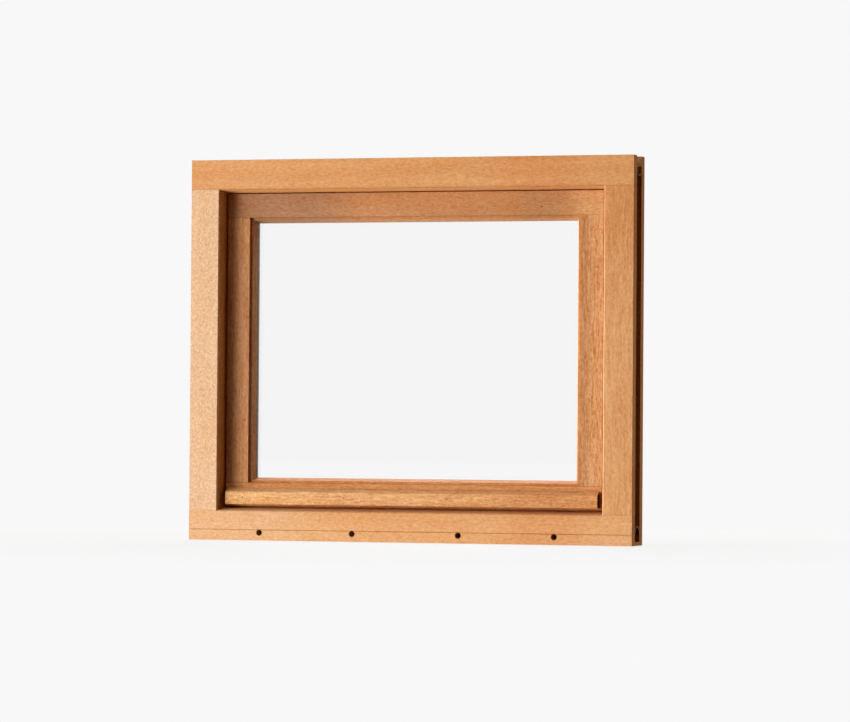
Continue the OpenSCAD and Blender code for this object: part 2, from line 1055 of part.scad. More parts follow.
module hardware_screws_frame() {
    color(metal)
        placed() {
            at_hinges()
                at_leaf_screws()
                    screw();
            for (side = [-1, 1])
                on_side(side)
                    at_foot_screws()
                        screw();
            at_keep_screws()
                screw();
        }
}

module hardware_screws_sash() {
    color(metal)
        placed() {
            at_hinges()
                mirror([0, 0, 1])
                    at_leaf_screws()
                        screw();
            for (side = [-1, 1])
                on_side(side)
                    at_guide_screws()
                        screw();
            at_bolt_screws()
                screw();
        }
}
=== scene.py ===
"""A hopper window in oiled hardwood, with sealed glass and satin steel fittings, in soft studio light."""

import json
import math

import bpy
from mathutils import Matrix, Vector

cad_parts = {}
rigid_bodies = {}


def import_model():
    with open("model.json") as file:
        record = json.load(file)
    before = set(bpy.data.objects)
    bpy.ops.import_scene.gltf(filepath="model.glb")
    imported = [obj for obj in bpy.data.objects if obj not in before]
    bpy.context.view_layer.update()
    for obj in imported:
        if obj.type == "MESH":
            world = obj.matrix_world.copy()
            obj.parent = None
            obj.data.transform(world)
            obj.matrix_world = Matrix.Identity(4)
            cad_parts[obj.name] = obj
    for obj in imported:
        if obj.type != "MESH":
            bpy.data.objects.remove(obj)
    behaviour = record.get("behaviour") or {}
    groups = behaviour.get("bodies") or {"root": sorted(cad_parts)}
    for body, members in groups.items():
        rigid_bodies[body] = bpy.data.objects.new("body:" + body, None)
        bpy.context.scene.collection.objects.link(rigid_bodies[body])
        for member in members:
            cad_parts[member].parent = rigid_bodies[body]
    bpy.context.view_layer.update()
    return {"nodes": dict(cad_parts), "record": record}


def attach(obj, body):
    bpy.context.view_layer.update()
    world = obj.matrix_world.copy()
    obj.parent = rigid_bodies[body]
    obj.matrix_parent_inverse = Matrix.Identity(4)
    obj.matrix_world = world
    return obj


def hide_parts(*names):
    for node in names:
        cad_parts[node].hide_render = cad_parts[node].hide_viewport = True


MM = 0.001

# Camera, worked out for an image of 850 by 722
IMAGE_WIDTH = 850
SENSOR_MM = 36
FOCAL_PX = 4132.5
CAMERA_PLACE = (2.3918, -7.4907, 0.2087)
CAMERA_YAW = 17.557
CAMERA_PITCH = 0.9935
CAMERA_ROLL = 0.4216
CAMERA_FAR = 60

# Strength of the world: as it is seen, as polished faces mirror it, and as it lights the object
BACKDROP = 0.939
MIRRORED = 0.5
AMBIENT = 0.05
AMBIENT_WARMTH = (1.0, 0.46, 0.10, 1)
WHITE = (1, 1, 1, 1)

# The floor, how much of its shadow shows, and how far from the middle that fades out, in metres
FLOOR_SIZE = 40
FLOOR_DROP = 0.5 * MM
SHADOW_SHARE = 0.16
SHADOW_CORE = 0.4
SHADOW_REACH = 1.4

# Lights that polished faces don't mirror
UNMIRRORED = ("low", "side")

# Eased edges, in metres and degrees
TIMBER_EASE = 0.6 * MM
METAL_EASE = 0.35 * MM
HEAD_EASE = 0.1 * MM
EASE_SEGMENTS = 2
SHARP_ANGLE = 25
FLAT_ANGLE = 0.5
MERGE_REACH = 0.002 * MM

# The frame's outline, its outside face and the sash's, and the wall slot's place, in metres
FRAME_WIDTH = 0.88
FRAME_HEIGHT = 0.73
FRONT_FACE = -0.039
SASH_FACE = -0.012
SLOT_FRONT = -0.0158
SLOT_BACK = 0.0178
SLOT_FLOOR = 0.0168
SLOT_MOUTH = 0.0008
REVEAL_BACK = 0.004
REVEAL_INSET = 0.054
JOINT_REACH = 0.0625
SIGHT_INSET = 0.118

# How far a face leans before it counts as facing along an axis, as the share of its normal
FACING = 0.5
SQUARE_ON = 0.9

# Screw heads: where each face's middle is, and the driver's cross in it
HINGE_SCREWS = [side * x for side in (-1, 1) for x in (0.212, 0.240, 0.268)]
SCREW_HEADS = {
    "hardware_screws_frame": [(x, 0.0415, 0.0281) for x in HINGE_SCREWS]
    + [(side * 0.413, 0.0420, z) for side in (-1, 1) for z in (0.165, 0.195)]
    + [(side * 0.016, 0.0415, 0.694) for side in (-1, 1)],
    "hardware_screws_sash": [(x, 0.0415, 0.0719) for x in HINGE_SCREWS]
    + [(side * 0.367, 0.0415, z) for side in (-1, 1) for z in (0.165, 0.195)]
    + [(side * 0.016, 0.0415, z) for side in (-1, 1) for z in (0.636, 0.666)],
}
CROSS_REACH = 1.9 * MM
CROSS_WIDTH = 0.95 * MM
CROSS_DEPTH = 1.5 * MM
CROSS_TAPER = 0.4
CROSS_TURN = 37

# Grain directions, as turns of the shader's vector in degrees
UPRIGHT = (0, 90, 0)
LYING = (0, 0, 0)

# Grain layers by cut: how strongly each shows
PLAIN = {
    "Broad": 0.35, "Bands": 0.10, "Streaks": 0.20, "Flecks": 1.15, "Specks": 0.5, "Pores": 0.4, "Drift": 0.6,
}
SPECKLED = {
    "Broad": 0.25, "Bands": 0.06, "Streaks": 0.15, "Flecks": 0.55, "Specks": 1.5, "Pores": 0.3, "Drift": 0.5,
}
STREAKED = {
    "Broad": 0.40, "Bands": 0.14, "Streaks": 1.1, "Flecks": 1.1, "Specks": 0.5, "Pores": 0.5, "Drift": 0.5,
}

# Share of a timber's spread that each channel gets, and how bright its other faces are: end grain, arrises
# and recesses
SPREAD_SHARES = (0.6, 0.95, 1.1)
END_SHADE = 0.85
# The arrises' tone is painted shade along the eased edges; where two pieces meet it also draws the dark
# joint line
ARRIS_PAINTED_SHADE = 0.14
SASH_ARRIS_PAINTED_SHADE = 0.65
# Slot walls get painted shade: their tone stands in for the shade deep in the slot
RECESS_PAINTED_SHADE = 0.2

# Depth of the relief that the grain shows, in metres, and how little oiled timber shines
GRAIN_RELIEF = 0.06 * MM
OILED_SHINE = 0.1

# Tone patches: a reach that covers a whole board, and how soon a patch is at full strength
WHOLE = 10.0
PATCH_GAIN = 1.6

# A timber's materials, in their order on a piece
LONG, END_AND_REVEAL, ARRIS, RECESS = range(4)


# ---- the frame -------------------------------------------------------------------------------
for leftover in list(bpy.data.objects):
    bpy.data.objects.remove(leftover)

camera_data = bpy.data.cameras.new("camera")
camera_data.sensor_width = SENSOR_MM
camera_data.lens = FOCAL_PX * SENSOR_MM / IMAGE_WIDTH
camera_data.clip_end = CAMERA_FAR
camera = bpy.data.objects.new("camera", camera_data)
camera.matrix_world = (
    Matrix.Translation(CAMERA_PLACE)
    @ Matrix.Rotation(math.radians(CAMERA_YAW), 4, "Z")
    @ Matrix.Rotation(math.radians(90 + CAMERA_PITCH), 4, "X")
    @ Matrix.Rotation(math.radians(CAMERA_ROLL), 4, "Z")
)
bpy.context.scene.collection.objects.link(camera)
bpy.context.scene.camera = camera
bpy.context.scene.view_settings.view_transform = "Standard"

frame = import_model()
node_body = {
    node: body for body, nodes in frame["record"]["behaviour"]["bodies"].items() for node in nodes
}


# ---- shader helpers --------------------------------------------------------------------------
def add(tree, kind, **settings):
    """A new node, with its properties set."""
    made = tree.nodes.new(kind)
    for key, value in settings.items():
        setattr(made, key, value)
    return made


def value_of(tree, operation, first, second=None, clamp=False):
    """A Math node; each operand is a number or a socket."""
    made = add(tree, "ShaderNodeMath", operation=operation, use_clamp=clamp)
    for place, operand in enumerate((first, second)):
        if operand is None:
            continue
        if isinstance(operand, (int, float)):
            made.inputs[place].default_value = operand
        else:
            tree.links.new(operand, made.inputs[place])
    return made.outputs[0]


def stretched(tree, vector, scale, offset=(0, 0, 0)):
    """The vector, scaled along each axis and moved."""
    made = add(tree, "ShaderNodeMapping")
    made.inputs["Scale"].default_value = scale
    made.inputs["Location"].default_value = offset
    tree.links.new(vector, made.inputs["Vector"])
    return made.outputs[0]


def noise(tree, vector, detail=2.0, roughness=0.5):
    """A noise texture over a vector that is already scaled."""
    made = add(tree, "ShaderNodeTexNoise")
    made.inputs["Scale"].default_value = 1.0
    made.inputs["Detail"].default_value = detail
    made.inputs["Roughness"].default_value = roughness
    tree.links.new(vector, made.inputs["Vector"])
    return made


def remap(tree, value, low, high, to_low=0.0, to_high=1.0):
    """A value taken from one range to another, and kept inside it."""
    made = add(tree, "ShaderNodeMapRange")
    made.inputs["From Min"].default_value = low
    made.inputs["From Max"].default_value = high
    made.inputs["To Min"].default_value = to_low
    made.inputs["To Max"].default_value = to_high
    tree.links.new(value, made.inputs["Value"])
    return made.outputs["Result"]


def blend_colour(tree, factor, first, second, mode="MIX"):
    """A blend of two colours; each operand is a value or a socket."""
    made = add(tree, "ShaderNodeMix", data_type="RGBA", blend_type=mode)
    for socket, operand in ((made.inputs[0], factor), (made.inputs[6], first), (made.inputs[7], second)):
        if isinstance(operand, (int, float, tuple)):
            socket.default_value = operand
        else:
            tree.links.new(operand, socket)
    return made.outputs[2]


def new_group(name, inputs, outputs):
    """An empty shader group with named sockets; returns it with its input and output nodes."""
    group = bpy.data.node_groups.new(name, "ShaderNodeTree")
    for label, kind, default in inputs:
        socket = group.interface.new_socket(label, in_out="INPUT", socket_type=kind)
        if default is not None:
            socket.default_value = default
    for label, kind in outputs:
        group.interface.new_socket(label, in_out="OUTPUT", socket_type=kind)
    return group, group.nodes.new("NodeGroupInput"), group.nodes.new("NodeGroupOutput")


def rgb(red, green, blue):
    """A colour written as 0 to 255, made linear, with full alpha."""

    def linear(level):
        share = level / 255
        return share / 12.92 if share <= 0.04045 else ((share + 0.055) / 1.055) ** 2.4

    return linear(red), linear(green), linear(blue), 1.0


# ---- shader groups ---------------------------------------------------------------------------
def make_hardwood_group():
    """Solid hardwood with its grain along the vector's X, from broad tone down to specks and pores."""
    tree, inside, outside = new_group(
        "hardwood grain",
        [
            ("Vector", "NodeSocketVector", None),
            ("Light", "NodeSocketColor", (0.75, 0.50, 0.30, 1)),
            ("Dark", "NodeSocketColor", (0.45, 0.25, 0.12, 1)),
            ("Broad", "NodeSocketFloat", 0.5),
            ("Bands", "NodeSocketFloat", 0.2),
            ("Streaks", "NodeSocketFloat", 0.5),
            ("Flecks", "NodeSocketFloat", 0.5),
            ("Specks", "NodeSocketFloat", 0.5),
            ("Pores", "NodeSocketFloat", 0.5),
            ("Drift", "NodeSocketFloat", 0.5),
        ],
        [("Color", "NodeSocketColor"), ("Roughness", "NodeSocketFloat"), ("Height", "NodeSocketFloat")],
    )
    vector = inside.outputs["Vector"]

    def waved(period, amount):
        """The vector, bent by a slow noise."""
        drift = noise(tree, stretched(tree, vector, period), 2)
        centred = add(tree, "ShaderNodeVectorMath", operation="SUBTRACT")
        centred.inputs[1].default_value = (0.5, 0.5, 0.5)
        tree.links.new(drift.outputs["Color"], centred.inputs[0])
        shift = add(tree, "ShaderNodeVectorMath", operation="SCALE")
        shift.inputs["Scale"].default_value = amount
        tree.links.new(centred.outputs[0], shift.inputs[0])
        moved = add(tree, "ShaderNodeVectorMath", operation="ADD")
        tree.links.new(vector, moved.inputs[0])
        tree.links.new(shift.outputs[0], moved.inputs[1])
        return moved.outputs[0]

    slow = waved((3, 9, 9), 0.05)
    quick = waved((22, 40, 40), 0.012)

    rings = add(tree, "ShaderNodeTexWave", wave_type="RINGS", rings_direction="X", wave_profile="SIN")
    rings.inputs["Scale"].default_value = 9
    rings.inputs["Distortion"].default_value = 2.5
    rings.inputs["Detail"].default_value = 3
    rings.inputs["Detail Scale"].default_value = 2.5
    tree.links.new(stretched(tree, slow, (0.3, 1, 1), (0, 0.11, -0.19)), rings.inputs["Vector"])

    layers = {
        "Broad": noise(tree, stretched(tree, slow, (3.5, 18, 18)), 3, 0.55).outputs["Fac"],
        "Bands": rings.outputs["Fac"],
        "Streaks": noise(tree, stretched(tree, quick, (14, 330, 330)), 2, 0.6).outputs["Fac"],
        "Flecks": noise(tree, stretched(tree, quick, (125, 330, 330)), 2, 0.6).outputs["Fac"],
        "Specks": noise(tree, stretched(tree, vector, (300, 360, 360)), 2, 0.6).outputs["Fac"],
    }
    tone = None
    for label, layer in layers.items():
        share = value_of(tree, "MULTIPLY", value_of(tree, "SUBTRACT", layer, 0.5), inside.outputs[label])
        tone = share if tone is None else value_of(tree, "ADD", tone, share)
    tone = value_of(tree, "ADD", tone, 0.5, clamp=True)
    colour = blend_colour(tree, tone, inside.outputs["Dark"], inside.outputs["Light"])

    cells = add(tree, "ShaderNodeTexVoronoi", feature="F1")
    cells.inputs["Scale"].default_value = 1.0
    tree.links.new(stretched(tree, quick, (120, 900, 900)), cells.inputs["Vector"])
    pores = remap(tree, cells.outputs["Distance"], 0.16, 0.28, 1, 0)
    pores = value_of(tree, "MULTIPLY", pores, remap(tree, layers["Streaks"], 0.42, 0.6, 1, 0))
    pores = value_of(tree, "MULTIPLY", pores, inside.outputs["Pores"])
    pored = blend_colour(tree, 1.0, colour, (0.40, 0.30, 0.22, 1), "MULTIPLY")
    colour = blend_colour(tree, pores, colour, pored)

    golden = noise(tree, stretched(tree, slow, (5, 26, 26), (3, 1, 2)), 2, 0.6).outputs["Fac"]
    golden = value_of(tree, "MULTIPLY", remap(tree, golden, 0.3, 0.7, 0, 1), inside.outputs["Drift"])
    gilded = blend_colour(tree, 1.0, colour, (0.98, 0.91, 0.70, 1), "MULTIPLY")
    tree.links.new(blend_colour(tree, golden, colour, gilded), outside.inputs["Color"])

    fibre = noise(tree, stretched(tree, vector, (40, 1600, 1600)), 2, 0.6).outputs["Fac"]
    rough = remap(tree, fibre, 0.3, 0.7, 0.56, 0.66)
    rough = value_of(tree, "ADD", rough, value_of(tree, "MULTIPLY", pores, 0.2))
    tree.links.new(rough, outside.inputs["Roughness"])
    height = value_of(tree, "SUBTRACT", value_of(tree, "MULTIPLY", fibre, 0.4), pores)
    tree.links.new(height, outside.inputs["Height"])
    return tree


def make_satin_group():
    """Satin steel: fine brushing along the vector's X, faint blotches and a soft bump."""
    tree, inside, outside = new_group(
        "satin brushing",
        [
            ("Vector", "NodeSocketVector", None),
            ("Tint", "NodeSocketColor", (0.6, 0.6, 0.6, 1)),
            ("Shine", "NodeSocketFloat", 0.3),
        ],
        [("Color", "NodeSocketColor"), ("Roughness", "NodeSocketFloat"), ("Height", "NodeSocketFloat")],
    )
    brush = noise(tree, stretched(tree, inside.outputs["Vector"], (60, 3200, 3200)), 2).outputs["Fac"]
    blotch = noise(tree, stretched(tree, inside.outputs["Vector"], (60, 60, 60)), 3).outputs["Fac"]
    dark = blend_colour(tree, 1.0, inside.outputs["Tint"], (0.82, 0.81, 0.79, 1), "MULTIPLY")
    colour = blend_colour(tree, remap(tree, blotch, 0.35, 0.7), inside.outputs["Tint"], dark)
    rough = value_of(tree, "ADD", inside.outputs["Shine"], remap(tree, brush, 0.3, 0.7, -0.06, 0.08))
    rough = value_of(tree, "ADD", rough, remap(tree, blotch, 0.4, 0.7, 0.0, 0.08))
    tree.links.new(colour, outside.inputs["Color"])
    tree.links.new(rough, outside.inputs["Roughness"])
    tree.links.new(brush, outside.inputs["Height"])
    return tree


def make_dull_group():
    """A dull film for rubber and plastic: colour and roughness that drift a little over the surface."""
    tree, inside, outside = new_group(
        "dull film",
        [("Vector", "NodeSocketVector", None), ("Tint", "NodeSocketColor", (0.1, 0.1, 0.1, 1))],
        [("Color", "NodeSocketColor"), ("Roughness", "NodeSocketFloat"), ("Height", "NodeSocketFloat")],
    )
    speck = noise(tree, stretched(tree, inside.outputs["Vector"], (400, 400, 400)), 4).outputs["Fac"]
    cloud = noise(tree, stretched(tree, inside.outputs["Vector"], (30, 30, 30)), 3).outputs["Fac"]
    paler = blend_colour(tree, 0.12, inside.outputs["Tint"], (0.55, 0.52, 0.48, 1))
    colour = blend_colour(tree, remap(tree, cloud, 0.4, 0.75), inside.outputs["Tint"], paler)
    tree.links.new(colour, outside.inputs["Color"])
    tree.links.new(remap(tree, speck, 0.3, 0.7, 0.5, 0.72), outside.inputs["Roughness"])
    tree.links.new(speck, outside.inputs["Height"])
    return tree


def make_patch_group():
    """A soft patch of another tone around a place, used for knots, painted shade in weep holes and changes
    of colour along a board.
    """
    tree, inside, outside = new_group(
        "tone patch",
        [
            ("Vector", "NodeSocketVector", None),
            ("Color", "NodeSocketColor", (0.5, 0.3, 0.2, 1)),
            ("Place", "NodeSocketVector", (0, 0, 0)),
            ("Reach", "NodeSocketVector", (0.1, 0.1, 0.1)),
            ("Gain", "NodeSocketFloat", 1.0),
            ("Tint", "NodeSocketColor", (0.5, 0.4, 0.35, 1)),
        ],
        [("Color", "NodeSocketColor")],
    )
    away = add(tree, "ShaderNodeVectorMath", operation="SUBTRACT")
    tree.links.new(inside.outputs["Vector"], away.inputs[0])
    tree.links.new(inside.outputs["Place"], away.inputs[1])
    share = add(tree, "ShaderNodeVectorMath", operation="DIVIDE")
    tree.links.new(away.outputs[0], share.inputs[0])
    tree.links.new(inside.outputs["Reach"], share.inputs[1])
    length = add(tree, "ShaderNodeVectorMath", operation="LENGTH")
    tree.links.new(share.outputs[0], length.inputs[0])
    near = value_of(tree, "SUBTRACT", 1.0, length.outputs["Value"], clamp=True)
    near = value_of(tree, "MULTIPLY", near, inside.outputs["Gain"], clamp=True)
    tinted = blend_colour(tree, 1.0, inside.outputs["Color"], inside.outputs["Tint"], "MULTIPLY")
    tree.links.new(blend_colour(tree, near, inside.outputs["Color"], tinted), outside.inputs["Color"])
    return tree


def make_sight_group():
    """A dark line along the sash's moulding where it meets the glass, on the outside."""
    tree, inside, outside = new_group(
        "sight line",
        [
            ("Vector", "NodeSocketVector", None),
            ("Color", "NodeSocketColor", (0.5, 0.3, 0.2, 1)),
            ("Inset", "NodeSocketFloat", SIGHT_INSET),
            ("Shade", "NodeSocketFloat", 0.25),
        ],
        [("Color", "NodeSocketColor")],
    )
    parts = add(tree, "ShaderNodeSeparateXYZ")
    tree.links.new(inside.outputs["Vector"], parts.inputs[0])
    side = value_of(tree, "SUBTRACT", FRAME_WIDTH / 2, value_of(tree, "ABSOLUTE", parts.outputs["X"]))
    below = value_of(tree, "SUBTRACT", FRAME_HEIGHT, parts.outputs["Z"])
    level = value_of(tree, "MINIMUM", parts.outputs["Z"], below)
    inset = value_of(tree, "MINIMUM", side, level)
    line = value_of(tree, "GREATER_THAN", inset, inside.outputs["Inset"])
    outer = value_of(tree, "LESS_THAN", parts.outputs["Y"], 0.0)
    depth = value_of(tree, "SUBTRACT", 1.0, inside.outputs["Shade"])
    shade = value_of(tree, "MULTIPLY", value_of(tree, "MULTIPLY", line, outer), depth)
    lined = blend_colour(tree, shade, inside.outputs["Color"], (0.01, 0.01, 0.01, 1))
    tree.links.new(lined, outside.inputs["Color"])
    return tree


HARDWOOD = make_hardwood_group()
PATCH = make_patch_group()
SIGHT = make_sight_group()
SATIN = make_satin_group()
DULL = make_dull_group()


# ---- materials -------------------------------------------------------------------------------
def grouped_material(
    name, group, values, bump, turn=LYING, offset=(0, 0, 0), patches=(), sight=False, **sockets
):
    """A Principled material fed by one shader group over Object coordinates, with tone patches on top."""
    material = bpy.data.materials.new(name)
    material.use_nodes = True
    tree = material.node_tree
    shader = tree.nodes["Principled BSDF"]
    for label, value in sockets.items():
        shader.inputs[label.replace("_", " ")].default_value = value
    place = add(tree, "ShaderNodeTexCoord")
    mapping = add(tree, "ShaderNodeMapping")
    mapping.inputs["Rotation"].default_value = [math.radians(angle) for angle in turn]
    mapping.inputs["Location"].default_value = offset
    tree.links.new(place.outputs["Object"], mapping.inputs["Vector"])
    effect = add(tree, "ShaderNodeGroup", node_tree=group)
    for label, value in values.items():
        effect.inputs[label].default_value = value
    tree.links.new(mapping.outputs[0], effect.inputs["Vector"])
    colour = effect.outputs["Color"]
    for centre, reach, gain, tint in patches:
        patch = add(tree, "ShaderNodeGroup", node_tree=PATCH)
        patch.inputs["Place"].default_value = centre
        patch.inputs["Reach"].default_value = reach
        patch.inputs["Gain"].default_value = gain
        patch.inputs["Tint"].default_value = tint + (1,)
        tree.links.new(place.outputs["Object"], patch.inputs["Vector"])
        tree.links.new(colour, patch.inputs["Color"])
        colour = patch.outputs["Color"]
    if sight:
        line = add(tree, "ShaderNodeGroup", node_tree=SIGHT)
        tree.links.new(place.outputs["Object"], line.inputs["Vector"])
        tree.links.new(colour, line.inputs["Color"])
        colour = line.outputs["Color"]
    tree.links.new(colour, shader.inputs["Base Color"])
    tree.links.new(effect.outputs["Roughness"], shader.inputs["Roughness"])
    relief = add(tree, "ShaderNodeBump")
    relief.inputs["Strength"].default_value = 0.6
    relief.inputs["Distance"].default_value = bump
    tree.links.new(effect.outputs["Height"], relief.inputs["Height"])
    tree.links.new(relief.outputs[0], shader.inputs["Normal"])
    return material


def along(place, half, tint, upright=False):
    """A slow change of tone along a board, around a place on its length."""
    if upright:
        return (0, 0, place), (WHOLE, WHOLE, half), PATCH_GAIN, tint
    return (place, 0, 0), (half, WHOLE, WHOLE), PATCH_GAIN, tint


def knot(x, z, length=0.0022, height=0.0018):
    """A small dark knot in the sash's outside face."""
    return (x, SASH_FACE, z), (length, 0.004, height), 2.0, (0.34, 0.26, 0.2)


def weep_hole_shade(x):
    """Painted shade in a weep hole in the sill's outside face, which darkens its walls and a ring round its
    mouth.
    """
    return (x, FRONT_FACE, 0.015), (0.0066, 0.0066, 0.0066), 5.0, (0.1, 0.07, 0.05)


def hardwood(
    name, middle, spread, turn, offset, cut, end_tone_and_painted_shade=END_SHADE, edge_shade=ARRIS_PAINTED_SHADE, **effects
):
    """One timber's materials: its long faces, its end grain (painted shade where it serves a jamb's reveals
    or the weather bar's end), its arrises and its recesses, the last two darkened with painted shade.
    """
    steps = [spread * share for share in SPREAD_SHARES]
    light = rgb(*(level + step for level, step in zip(middle, steps)))
    dark = rgb(*(level - step for level, step in zip(middle, steps)))
    shades = {
        name: 1.0, name + " end": end_tone_and_painted_shade, name + " arris": edge_shade, name + " recess": RECESS_PAINTED_SHADE,
    }
    made = []
    for label, shade in shades.items():
        tint = shade if isinstance(shade, tuple) else (shade, shade, shade)
        colours = {
            "Light": tuple(c * t for c, t in zip(light, tint)) + (1,),
            "Dark": tuple(c * t for c, t in zip(dark, tint)) + (1,),
        }
        made.append(
            grouped_material(
                label, HARDWOOD, {**colours, **cut}, GRAIN_RELIEF, turn, offset,
                Specular_IOR_Level=OILED_SHINE, **effects,
            )
        )
    return made


SILL_LINE = ((0, FRONT_FACE, 0.0205), (WHOLE, 0.004, 0.0014), PATCH_GAIN, (0.79, 0.7, 0.62))
STILE_SHADE = ((0.332, 0, 0), (0.02, WHOLE, WHOLE), PATCH_GAIN, (0.85, 0.78, 0.74))
SASH_LOOK = {"sight": True, "edge_shade": SASH_ARRIS_PAINTED_SHADE}

WOODS = {
    # The head is darker and warmer towards the right, partly its own tone and partly painted light falling
    # off from the key on the left
    "head": hardwood(
        "head timber", (227, 162, 103), 30, LYING, (0.3, 0.02, 0.11), PLAIN,
        patches=[along(0.25, 0.12, (0.98, 0.88, 0.82))],
    ),
    # The sill is paler towards the left and darker towards the right, partly its own tone and partly painted
    # light from the key on the left
    "sill": hardwood(
        "sill timber", (236, 173, 117), 30, LYING, (1.7, 0.31, 0.05), PLAIN,
        patches=[
            along(-0.34, 0.22, (1.0, 1.12, 1.3)), along(0.27, 0.1, (0.96, 0.88, 0.84)), SILL_LINE,
            weep_hole_shade(-0.2966), weep_hole_shade(-0.1095), weep_hole_shade(0.1015), weep_hole_shade(0.2895),
        ],
    ),
    # The left jamb's paler colour is partly painted sheen from the key light on the left; its end tint
    # paints the warm shade on its reveal
    "jamb_left": hardwood(
        "left jamb timber", (236, 190, 149), 34, UPRIGHT, (0.9, 0.44, 0.2), SPECKLED, (0.84, 0.63, 0.3),
    ),
    # The right jamb's end tone of 0.5 paints shade on its reveal to hold down the bounced glow; it is also
    # darker towards its top, painted shade for less light from below
    "jamb_right": hardwood(
        "right jamb timber", (228, 164, 109), 30, UPRIGHT, (2.4, 0.7, 0.4), STREAKED, 0.5,
        patches=[along(0.64, 0.12, (0.93, 0.86, 0.78), upright=True)],
    ),
    # The top rail's darker, greyer left part is the jamb's shadow, painted; it is also lighter and paler at
    # its right end
    "sash_top_rail": hardwood(
        "top rail timber", (200, 136, 85), 32, LYING, (3.1, 0.15, 0.6), PLAIN, **SASH_LOOK,
        patches=[
            along(-0.255, 0.16, (0.74, 0.8, 0.96)), along(0.25, 0.06, (0.9, 0.95, 1.0)),
            along(0.36, 0.06, (1.2, 1.38, 1.5)), knot(0.2533, 0.6361), knot(-0.2519, 0.6660, 0.0012, 0.0026),
        ],
    ),
    "sash_bottom_rail": hardwood(
        "bottom rail timber", (228, 153, 90), 34, LYING, (4.2, 0.55, 0.3), STREAKED, **SASH_LOOK,
    ),
    "sash_stile_left": hardwood(
        "left stile timber", (215, 149, 98), 36, UPRIGHT, (5.3, 0.21, 0.7), STREAKED, **SASH_LOOK,
        patches=[knot(-0.3368, 0.2305)],
    ),
    "sash_stile_right": hardwood(
        "right stile timber", (216, 153, 97), 46, UPRIGHT, (6.1, 0.91, 0.15), STREAKED, **SASH_LOOK,
        patches=[STILE_SHADE],
    ),
    # The weather bar's end tone of 0.05 paints the shadow in the narrow gap at its ends; its paler left and
    # darker right are painted light from the key on the left
    "weather_bar": hardwood(
        "weather bar timber", (228, 163, 101), 46, LYING, (7.7, 0.4, 0.8), STREAKED, 0.05,
        patches=[along(-0.272, 0.2, (1.08, 1.18, 1.25)), along(0.25, 0.1, (0.93, 0.84, 0.8))],
    ),
    "bead_top": hardwood("top bead timber", (204, 140, 90), 28, LYING, (8.2, 0.1, 0.2), PLAIN),
    "bead_bottom": hardwood("bottom bead timber", (208, 144, 92), 28, LYING, (8.9, 0.6, 0.9), STREAKED),
    "bead_left": hardwood("left bead timber", (202, 138, 88), 28, UPRIGHT, (9.3, 0.3, 0.5), STREAKED),
    "bead_right": hardwood("right bead timber", (210, 146, 94), 28, UPRIGHT, (9.9, 0.8, 0.1), PLAIN),
    "sash_dowels": hardwood("dowel timber", (208, 172, 124), 18, UPRIGHT, (2.0, 0.2, 0.2), PLAIN),
}

STEEL_LOOK = {"Tint": rgb(196, 195, 190), "Shine": 0.3}
STEEL = grouped_material("satin steel", SATIN, STEEL_LOOK, 0.02 * MM, Metallic=1.0)
STEEL_UPRIGHT = grouped_material("satin steel upright", SATIN, STEEL_LOOK, 0.02 * MM, UPRIGHT, Metallic=1.0)
ZINC = grouped_material(
    "zinc plate", SATIN, {"Tint": rgb(188, 190, 192), "Shine": 0.36}, 0.01 * MM, Metallic=1.0
)
PIN_STEEL = grouped_material(
    "pin steel", SATIN, {"Tint": rgb(92, 74, 60), "Shine": 0.5}, 0.01 * MM, Metallic=0.6
)
SPACER = grouped_material(
    "spacer aluminium", SATIN, {"Tint": rgb(112, 108, 102), "Shine": 0.45}, 0.01 * MM, Metallic=1.0
)
GASKET = grouped_material("gasket rubber", DULL, {"Tint": rgb(74, 48, 32)}, 0.03 * MM)
SEALANT = grouped_material("edge sealant", DULL, {"Tint": rgb(40, 40, 40)}, 0.03 * MM)
TAPE = grouped_material("glazing tape", DULL, {"Tint": rgb(84, 88, 82)}, 0.03 * MM)
BLOCKS = grouped_material("setting block plastic", DULL, {"Tint": rgb(46, 48, 52)}, 0.02 * MM)


def make_glass():
    """Clear float glass that lets light rays through unbent, so what it shades isn't black."""
    material = bpy.data.materials.new("float glass")
    material.use_nodes = True
    tree = material.node_tree
    shader = tree.nodes["Principled BSDF"]
    shader.inputs["Base Color"].default_value = (0.99, 0.99, 0.99, 1)
    shader.inputs["Roughness"].default_value = 0.0
    shader.inputs["IOR"].default_value = 1.45
    shader.inputs["Transmission Weight"].default_value = 1.0
    clear = add(tree, "ShaderNodeBsdfTransparent")
    path = add(tree, "ShaderNodeLightPath")
    switch = add(tree, "ShaderNodeMixShader")
    tree.links.new(path.outputs["Is Shadow Ray"], switch.inputs[0])
    tree.links.new(shader.outputs[0], switch.inputs[1])
    tree.links.new(clear.outputs[0], switch.inputs[2])
    tree.links.new(switch.outputs[0], tree.nodes["Material Output"].inputs["Surface"])
    return material


GLASS = make_glass()


# ---- pieces ----------------------------------------------------------------------------------
def only(piece):
    """Selects that piece alone and makes it active."""
    bpy.ops.object.select_all(action="DESELECT")
    piece.select_set(True)
    bpy.context.view_layer.objects.active = piece


def dress(node, material):
    """Gives a carried-over CAD node its material."""
    mesh = frame["nodes"][node].data
    mesh.materials.clear()
    mesh.materials.append(material)


